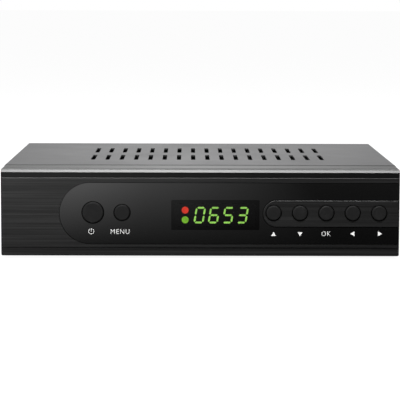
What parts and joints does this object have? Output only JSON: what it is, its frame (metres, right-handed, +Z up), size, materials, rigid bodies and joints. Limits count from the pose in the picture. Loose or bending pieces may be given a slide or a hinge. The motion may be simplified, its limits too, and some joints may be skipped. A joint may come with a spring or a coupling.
{
  "type": "satellite receiver",
  "caption": "Flat satellite receiver with a slotted metal cover, a glossy front panel with round keys and a digit display, and rear sockets.",
  "frame": {"origin": "middle of the bounding box, on the surface that the feet stand on", "axes": "+X along the front to the viewer's right, +Y from the front to the rear, +Z up"},
  "size_m": [0.2222, 0.1686, 0.0505],
  "materials": {
    "black_moulding": "moulded black with a fine brushed grain",
    "black_gloss": "polished black",
    "smoked_window": "smoked, polished",
    "black_keys": "satin black",
    "black_plastic": "matt black",
    "white_plastic": "matt white",
    "yellow_plastic": "satin yellow",
    "red_plastic": "satin red",
    "orange_plastic": "satin orange",
    "lit_green": "lit green",
    "lit_red": "lit red",
    "circuit_board": "green solder mask",
    "cable_grey": "grey ribbon",
    "chip_plastic": "moulded black",
    "sleeve_black": "shrunk sleeve",
    "chassis_paint": "black powder coat",
    "black_paint": "black powder coat, satin",
    "black_steel": "blackened",
    "zinc_steel": "zinc plated",
    "tinned_can": "tinned",
    "nickel": "nickel plated",
    "brass_metal": "turned",
    "black_aluminium": "black anodised",
    "black_rubber": "moulded rubber"
  },
  "bodies": {
    "case": {"aerial_input": "nickel", "aerial_output": "nickel", "aerial_tuner": "tinned_can", "audio_left_insert": "white_plastic", "audio_right_insert": "red_plastic", "av_jack_block": "black_plastic", "av_jack_sleeves": "nickel", "board_screws": "zinc_steel", "board_standoffs": "brass_metal", "bottom_chassis": "chassis_paint", "capacitors": "sleeve_black", "case_screws": "black_steel", "data_socket": "tinned_can", "data_tongue": "white_plastic", "dc_inlet": "black_plastic", "dc_pin": "nickel", "digital_audio_insert": "orange_plastic", "digital_video_socket": "tinned_can", "digital_video_tongue": "black_plastic", "display_digits": "lit_green", "display_module": "black_plastic", "display_window": "smoked_window", "front_bezel": "black_moulding", "front_board": "circuit_board", "gloss_panel": "black_gloss", "heatsink": "black_aluminium", "infrared_receiver": "black_plastic", "lnb_input": "nickel", "lnb_insulators": "white_plastic", "lnb_nuts": "nickel", "lnb_output": "nickel", "main_board": "circuit_board", "main_processor": "chip_plastic", "memory_chips": "chip_plastic", "network_socket": "black_plastic", "ribbon_cable": "cable_grey", "rubber_feet": "black_rubber", "satellite_tuner": "tinned_can", "signal_lamp": "lit_green", "standby_lamp": "lit_red", "switch_body": "black_plastic", "tact_switches": "black_plastic", "tapping_screws": "zinc_steel", "top_cover": "black_paint", "video_insert": "yellow_plastic"},
    "power_button": {"power_key": "black_keys", "power_plunger": "white_plastic"},
    "menu_button": {"menu_key": "black_keys", "menu_plunger": "white_plastic"},
    "up_button": {"up_key": "black_keys", "up_plunger": "white_plastic"},
    "down_button": {"down_key": "black_keys", "down_plunger": "white_plastic"},
    "ok_button": {"ok_key": "black_keys", "ok_plunger": "white_plastic"},
    "left_button": {"left_key": "black_keys", "left_plunger": "white_plastic"},
    "right_button": {"right_key": "black_keys", "right_plunger": "white_plastic"},
    "rocker": {"switch_rocker": "black_plastic"}
  },
  "joints": [
    {"name": "power_press", "type": "slide", "parent": "case", "child": "power_button", "axis": [0, 1, 0], "range_m": [0, 0.0006], "stiffness_N_per_m": 400, "springref_m": -0.0004},
    {"name": "menu_press", "type": "slide", "parent": "case", "child": "menu_button", "axis": [0, 1, 0], "range_m": [0, 0.0006], "stiffness_N_per_m": 400, "springref_m": -0.0004},
    {"name": "up_press", "type": "slide", "parent": "case", "child": "up_button", "axis": [0, 1, 0], "range_m": [0, 0.0006], "stiffness_N_per_m": 400, "springref_m": -0.0004},
    {"name": "down_press", "type": "slide", "parent": "case", "child": "down_button", "axis": [0, 1, 0], "range_m": [0, 0.0006], "stiffness_N_per_m": 400, "springref_m": -0.0004},
    {"name": "ok_press", "type": "slide", "parent": "case", "child": "ok_button", "axis": [0, 1, 0], "range_m": [0, 0.0006], "stiffness_N_per_m": 400, "springref_m": -0.0004},
    {"name": "left_press", "type": "slide", "parent": "case", "child": "left_button", "axis": [0, 1, 0], "range_m": [0, 0.0006], "stiffness_N_per_m": 400, "springref_m": -0.0004},
    {"name": "right_press", "type": "slide", "parent": "case", "child": "right_button", "axis": [0, 1, 0], "range_m": [0, 0.0006], "stiffness_N_per_m": 400, "springref_m": -0.0004},
    {"name": "power_rock", "type": "hinge", "parent": "case", "child": "rocker", "pos_m": [-0.095, 0.0713, 0.031], "axis": [0, 0, -1], "range_deg": [0, 20]}
  ]
}
